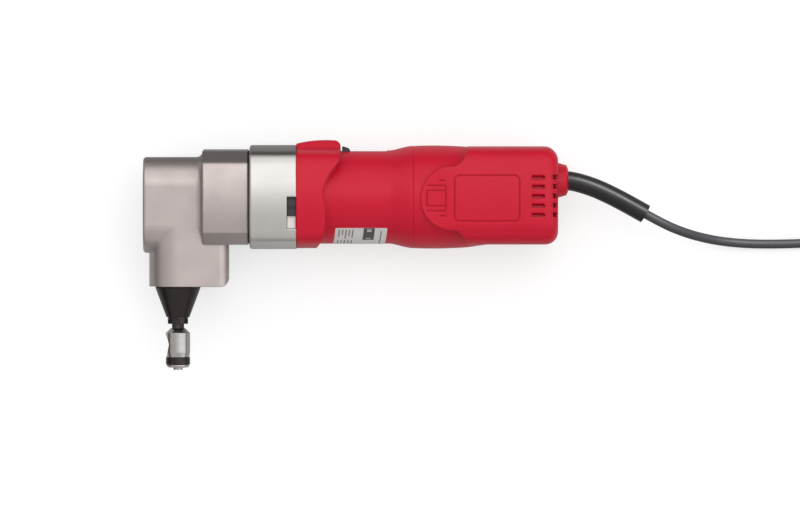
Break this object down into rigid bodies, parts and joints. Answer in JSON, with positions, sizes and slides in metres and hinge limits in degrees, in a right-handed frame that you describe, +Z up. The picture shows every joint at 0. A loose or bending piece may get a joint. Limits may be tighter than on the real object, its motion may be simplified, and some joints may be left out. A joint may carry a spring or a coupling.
{
  "type": "nibbler",
  "caption": "Corded electric sheet-metal nibbler lying on its side: angled cast head with cone nut, punch and round die, red motor housing and rear cover, cord coiled.",
  "frame": {"origin": "on the ground, under the motor axis, in the side flat of the motor housing's shoulder", "axes": "+X along the motor towards the cord, +Y up the tool in use (the die points to -Y), +Z up as it lies"},
  "size_m": [0.5486, 0.2478, 0.068],
  "materials": {
    "cast_head": "bead-blasted grey casting",
    "bright_flange": "machined satin aluminium",
    "red_shell": "red satin moulding",
    "black_moulding": "black moulding",
    "cream_moulding": "cream moulding",
    "black_steel": "black oxide on steel",
    "ground_steel": "bright ground steel",
    "drive_steel": "hardened and ground steel",
    "bearing_steel": "bearing steel",
    "screw_steel": "zinc plated steel",
    "plate_metal": "machined plate",
    "fan_moulding": "grey moulding",
    "lamination": "stacked sheet steel",
    "winding_copper": "enamelled copper",
    "carbon": "pressed carbon",
    "gasket": "dark gasket",
    "black_rubber": "black rubber",
    "blade_brass": "plated brass"
  },
  "bodies": {
    "tool": {"head_housing": "cast_head", "gear_flange": "bright_flange", "motor_housing": "red_shell", "rear_cover": "red_shell", "fan_shroud": "black_moulding", "switch_block": "black_moulding", "cable_clamp": "black_moulding", "brush_holders": "black_moulding", "air_guide": "cream_moulding", "die_nut": "black_steel", "armature_front_bearing": "bearing_steel", "armature_rear_bearing": "bearing_steel", "layshaft_front_bearing": "bearing_steel", "layshaft_rear_bearing": "bearing_steel", "crank_front_bearing": "bearing_steel", "crank_rear_bearing": "bearing_steel", "head_screws": "screw_steel", "bearing_plate_screws": "screw_steel", "rear_cover_screws": "screw_steel", "clamp_screws": "screw_steel", "brush_springs": "screw_steel", "bearing_plate": "plate_metal", "stator_core": "lamination", "field_coils": "winding_copper", "carbon_brushes": "carbon", "head_gasket": "gasket", "cord_sleeve": "black_rubber", "cord": "black_rubber", "cord_tail": "black_rubber", "cord_coil": "black_rubber", "supply_lead": "black_rubber", "plug_body": "black_rubber", "plug_blades": "blade_brass"},
    "armature": {"armature_shaft": "drive_steel", "armature_core": "lamination", "armature_winding": "winding_copper", "commutator": "winding_copper", "cooling_fan": "fan_moulding"},
    "layshaft_set": {"layshaft": "drive_steel", "layshaft_gear": "drive_steel"},
    "crank": {"crankshaft": "drive_steel", "crank_gear": "drive_steel"},
    "rod": {"connecting_rod": "drive_steel", "wrist_pin": "drive_steel"},
    "ram_set": {"ram": "drive_steel", "punch_retainer": "drive_steel"},
    "die_set": {"die_holder": "black_steel", "die": "ground_steel", "die_lock_ring": "black_steel", "die_screw": "ground_steel"},
    "punch_blade": {"punch": "ground_steel"},
    "switch": {"slide_button": "black_moulding", "switch_link": "black_moulding"}
  },
  "joints": [
    {"name": "armature_spin", "type": "hinge", "parent": "tool", "child": "armature", "pos_m": [0, 0, 0.034], "axis": [1, 0, 0], "continuous": true},
    {"name": "layshaft_spin", "type": "hinge", "parent": "tool", "child": "layshaft_set", "pos_m": [-0.05, -0.015, 0.034], "axis": [1, 0, 0], "continuous": true},
    {"name": "crank_spin", "type": "hinge", "parent": "tool", "child": "crank", "pos_m": [-0.06, 0, 0.034], "axis": [1, 0, 0], "continuous": true},
    {"name": "rod_swing", "type": "hinge", "parent": "crank", "child": "rod", "pos_m": [-0.0852, -0.003, 0.034], "axis": [1, 0, 0], "continuous": true},
    {"name": "ram_slide", "type": "slide", "parent": "tool", "child": "ram_set", "axis": [0, 1, 0], "range_m": [0, 0.006]},
    {"name": "die_turn", "type": "hinge", "parent": "tool", "child": "die_set", "pos_m": [-0.0852, -0.06, 0.034], "axis": [0, 1, 0], "continuous": true},
    {"name": "punch_slide", "type": "slide", "parent": "die_set", "child": "punch_blade", "axis": [0, 1, 0], "range_m": [0, 0.006]},
    {"name": "switch_slide", "type": "slide", "parent": "tool", "child": "switch", "axis": [1, 0, 0], "range_m": [0, 0.0055]}
  ],
  "couplings": [
    {"joint": "layshaft_spin", "follows": "armature_spin", "ratio": -0.25},
    {"joint": "crank_spin", "follows": "armature_spin", "ratio": 0.083333},
    {"joint": "rod_swing", "follows": "armature_spin", "ratio": -0.083333},
    {"joint": "punch_slide", "follows": "ram_slide", "ratio": 1}
  ]
}
